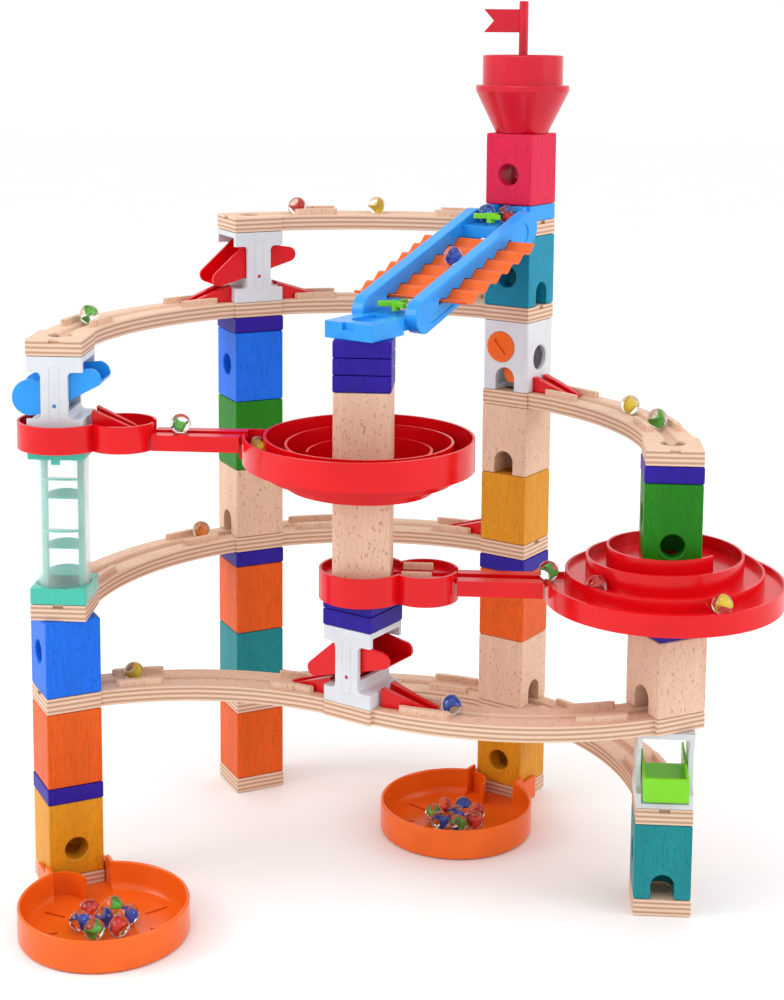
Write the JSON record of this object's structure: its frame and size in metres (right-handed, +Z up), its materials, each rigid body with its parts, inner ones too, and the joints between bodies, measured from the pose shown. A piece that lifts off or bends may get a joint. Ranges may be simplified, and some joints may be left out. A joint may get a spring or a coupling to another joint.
{
  "type": "marble run",
  "caption": "Tabletop marble run: block towers joined by curved plywood rails, with a bowl spiral, a mound spiral, a wavy ramp, seesaws, a tipping tray, a switch, a funnel and catch bowls.",
  "frame": {"origin": "centre of the bounding box in plan, on the table under the base plates and catch bowls", "axes": "+X along the line of the three front towers, +Y away from the front towers towards the rear ones, +Z up"},
  "size_m": [0.6038, 0.4076, 0.7175],
  "materials": {
    "beech": "fine-grained beech, sanded, clear matt oil",
    "ply": "birch plywood, sanded, layers showing on the edges",
    "indigo_paint": "wood stained deep indigo, satin",
    "yellow_paint": "wood stained mustard yellow, satin",
    "orange_paint": "wood stained orange, satin",
    "blue_paint": "wood stained bright blue, satin",
    "teal_paint": "wood stained teal, satin",
    "green_paint": "wood stained deep green, satin",
    "crimson_paint": "wood stained crimson, satin",
    "red_plastic": "moulded, glossy",
    "crimson_plastic": "moulded, glossy",
    "white_plastic": "moulded, satin gloss",
    "blue_plastic": "moulded, glossy",
    "sky_plastic": "moulded, glossy",
    "orange_plastic": "moulded, satin gloss",
    "lime_plastic": "moulded, glossy",
    "mint_plastic": "moulded, glossy",
    "clear_plastic": "clear, polished",
    "glass": "clear glass with a coloured swirl"
  },
  "bodies": {
    "marble_run": {"lower_back_rail": "ply", "s_rail": "ply", "middle_rail": "ply", "upper_rail": "ply", "top_rail": "ply", "right_rail": "ply", "rail_plug": "beech", "bowl_spiral_track": "red_plastic", "mound_spiral_track": "red_plastic", "left_catch_bowl": "orange_plastic", "right_catch_bowl": "orange_plastic", "left_front_base_plate": "ply", "left_front_yellow_block": "yellow_paint", "left_front_orange_block": "orange_paint", "left_front_blue_block": "blue_paint", "ladder_base": "mint_plastic", "clear_tube": "clear_plastic", "tube_cap": "mint_plastic", "left_front_seesaw_frame": "white_plastic", "left_rear_base_plate": "ply", "left_rear_lower_orange_block": "orange_paint", "left_rear_teal_block": "teal_paint", "left_rear_upper_orange_block": "orange_paint", "left_rear_beech_block": "beech", "left_rear_green_block": "green_paint", "left_rear_blue_block": "blue_paint", "left_rear_seesaw_frame": "white_plastic", "centre_seesaw_frame": "white_plastic", "centre_lower_spacers": "indigo_paint", "centre_lower_beech_block": "beech", "centre_upper_beech_block": "beech", "centre_upper_spacers": "indigo_paint", "right_rear_base_plate": "ply", "right_rear_lower_yellow_block": "yellow_paint", "right_rear_lower_beech_block": "beech", "right_rear_orange_block": "orange_paint", "right_rear_upper_yellow_block": "yellow_paint", "right_rear_upper_beech_block": "beech", "switch_block": "white_plastic", "right_rear_teal_block": "teal_paint", "crimson_block": "crimson_paint", "funnel": "crimson_plastic", "flag": "crimson_plastic", "right_front_base_plate": "ply", "right_front_teal_block": "teal_paint", "tray_frame": "white_plastic", "right_front_beech_block": "beech", "right_front_green_block": "green_paint", "ramp_body": "sky_plastic", "wave_plate": "orange_plastic"},
    "left_rear_red_rocker_body": {"left_rear_red_rocker": "red_plastic"},
    "centre_red_rocker_body": {"centre_red_rocker": "red_plastic"},
    "blue_rocker_body": {"blue_rocker": "blue_plastic"},
    "tipping_tray_body": {"tipping_tray": "lime_plastic"},
    "switch_knob_body": {"switch_knob": "orange_plastic"},
    "lower_spinner_body": {"lower_spinner": "lime_plastic"},
    "upper_spinner_body": {"upper_spinner": "lime_plastic"},
    "upper_rail_marble_body": {"upper_rail_marble": "glass"},
    "middle_rail_marble_body": {"middle_rail_marble": "glass"},
    "right_rail_marble_body": {"right_rail_marble": "glass"}
  },
  "joints": [
    {"name": "left_rear_seesaw", "type": "hinge", "parent": "marble_run", "child": "left_rear_red_rocker_body", "pos_m": [-0.147, 0.15235, 0.4756], "axis": [0.5, -0.866, 0], "range_deg": [-32.4, 0]},
    {"name": "centre_seesaw", "type": "hinge", "parent": "marble_run", "child": "centre_red_rocker_body", "pos_m": [-0.027, -0.0555, 0.1871], "axis": [-0.5, -0.866, 0], "range_deg": [-32.4, 0]},
    {"name": "blue_seesaw", "type": "hinge", "parent": "marble_run", "child": "blue_rocker_body", "pos_m": [-0.267, -0.0555, 0.4001], "axis": [0, -1, 0], "range_deg": [-22, 0]},
    {"name": "tray_tip", "type": "hinge", "parent": "marble_run", "child": "tipping_tray_body", "pos_m": [0.213, -0.0555, 0.1116], "axis": [1, 0, 0], "range_deg": [-28, 0]},
    {"name": "switch_turn", "type": "hinge", "parent": "marble_run", "child": "switch_knob_body", "pos_m": [0.0891, 0.1546, 0.4164], "axis": [-0.5, -0.866, 0], "range_deg": [-30, 0]},
    {"name": "lower_spin", "type": "hinge", "parent": "marble_run", "child": "lower_spinner_body", "pos_m": [-0.005, -0.0174, 0.471], "axis": [0, 0, 1], "continuous": true},
    {"name": "upper_spin", "type": "hinge", "parent": "marble_run", "child": "upper_spinner_body", "pos_m": [0.0675, 0.10818, 0.529], "axis": [0, 0, 1], "continuous": true},
    {"name": "upper_marble_roll", "type": "hinge", "parent": "marble_run", "child": "upper_rail_marble_body", "pos_m": [-0.027, -0.0555, 0.461], "axis": [0, 0, 1], "range_deg": [-27, 6]},
    {"name": "middle_marble_roll", "type": "hinge", "parent": "marble_run", "child": "middle_rail_marble_body", "pos_m": [-0.027, -0.0555, 0.248], "axis": [0, 0, 1], "range_deg": [-4, 33]},
    {"name": "right_marble_roll", "type": "hinge", "parent": "marble_run", "child": "right_rail_marble_body", "pos_m": [-0.027, -0.0555, 0.3855], "axis": [0, 0, 1], "range_deg": [-8, 13]}
  ]
}
